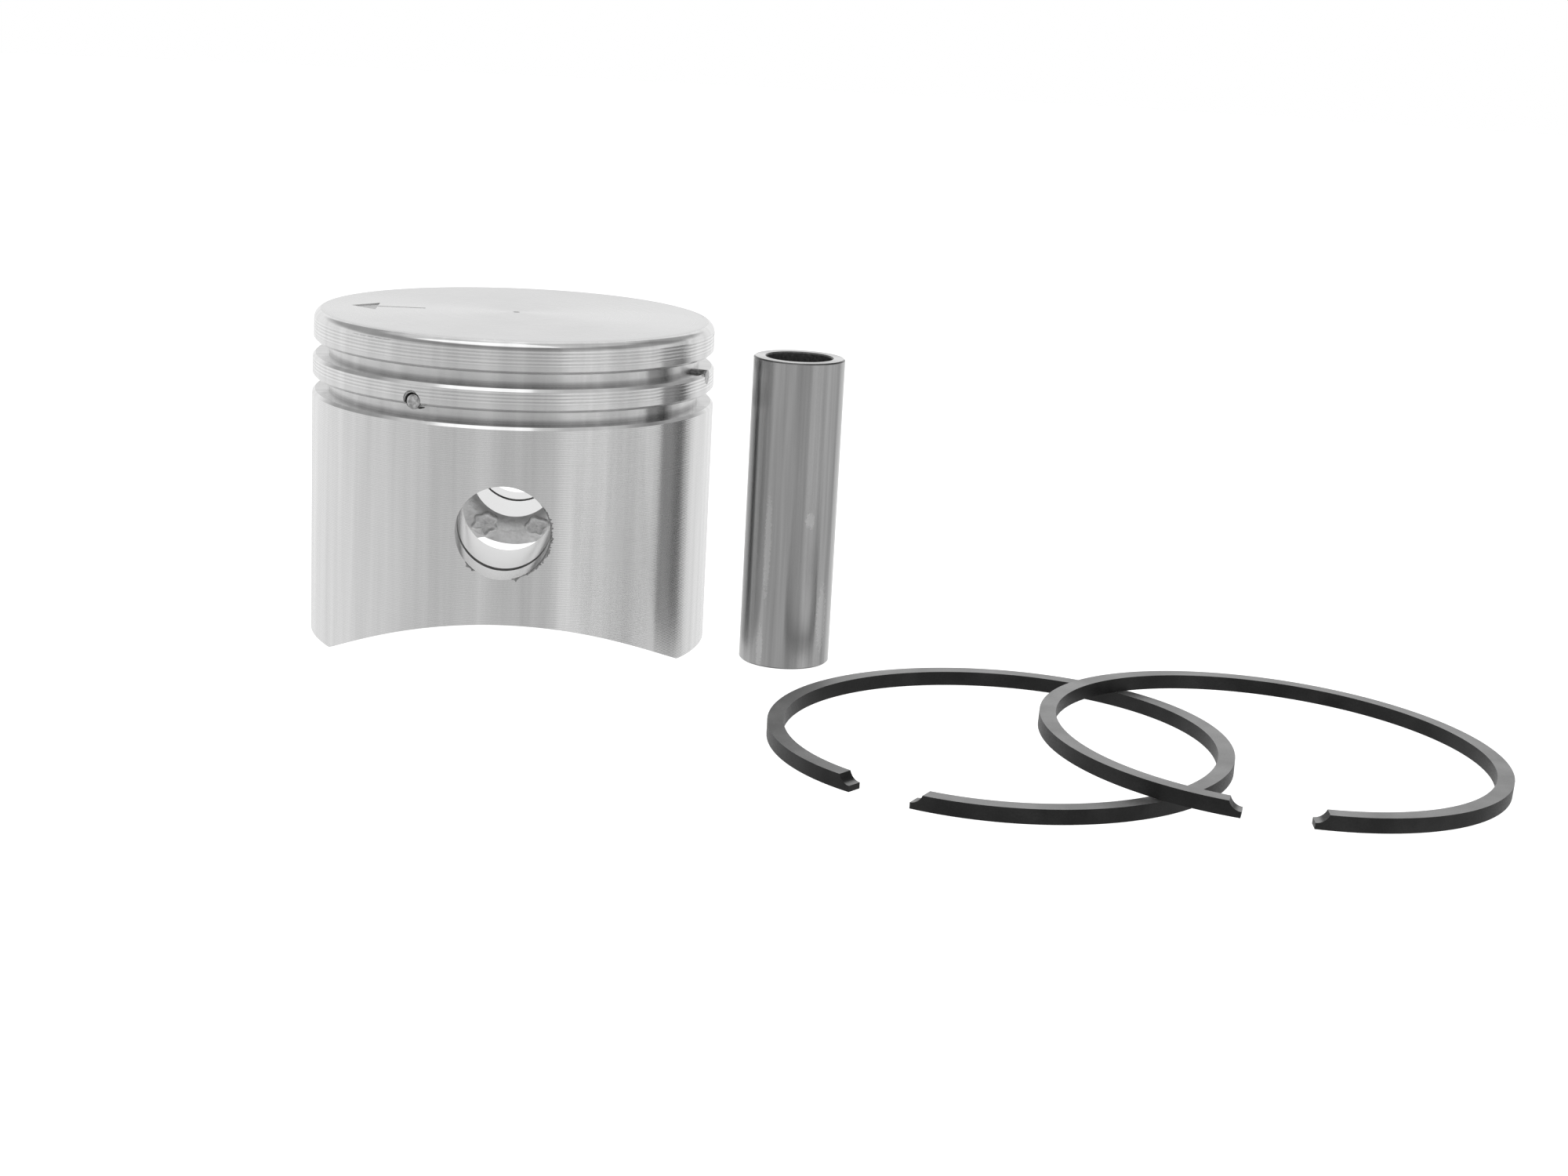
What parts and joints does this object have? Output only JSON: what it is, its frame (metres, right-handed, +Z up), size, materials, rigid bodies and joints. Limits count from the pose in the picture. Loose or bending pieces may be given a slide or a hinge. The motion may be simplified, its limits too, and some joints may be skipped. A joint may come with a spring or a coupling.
{
  "type": "engine piston set",
  "caption": "Small engine piston with ring grooves, pin bosses and an arched skirt, laid out with its hollow wrist pin and its split piston rings.",
  "frame": {"origin": "middle of the laid-out set's footprint, on the surface that it stands on", "axes": "+X along the row of pieces, from the piston to the rings, +Y from the rings' side to the piston's side, parallel to the wrist pin bore, +Z up, from the skirt to the crown"},
  "size_m": [0.1238, 0.0874, 0.0363],
  "materials": {
    "piston_aluminium": "fine turned, satin",
    "ground_steel": "ground and polished",
    "ring_iron": "dark phosphate, lapped flanks",
    "locating_pin_steel": "sheared ends"
  },
  "bodies": {
    "piston": {"piston": "piston_aluminium", "locating_pin_upper": "locating_pin_steel", "locating_pin_lower": "locating_pin_steel"},
    "wrist_pin": {"wrist_pin": "ground_steel"},
    "piston_ring_1": {"piston_ring_1": "ring_iron"},
    "piston_ring_2": {"piston_ring_2": "ring_iron"}
  },
  "joints": [
    {"name": "wrist_pin_lift", "type": "slide", "parent": "piston", "child": "wrist_pin", "axis": [0, 0, 1], "range_m": [0, 0.045]},
    {"name": "ring_1_lift", "type": "slide", "parent": "piston", "child": "piston_ring_1", "axis": [0, 0, 1], "range_m": [0, 0.045]},
    {"name": "ring_2_lift", "type": "slide", "parent": "piston_ring_1", "child": "piston_ring_2", "axis": [0, 0, 1], "range_m": [0, 0.045]}
  ]
}
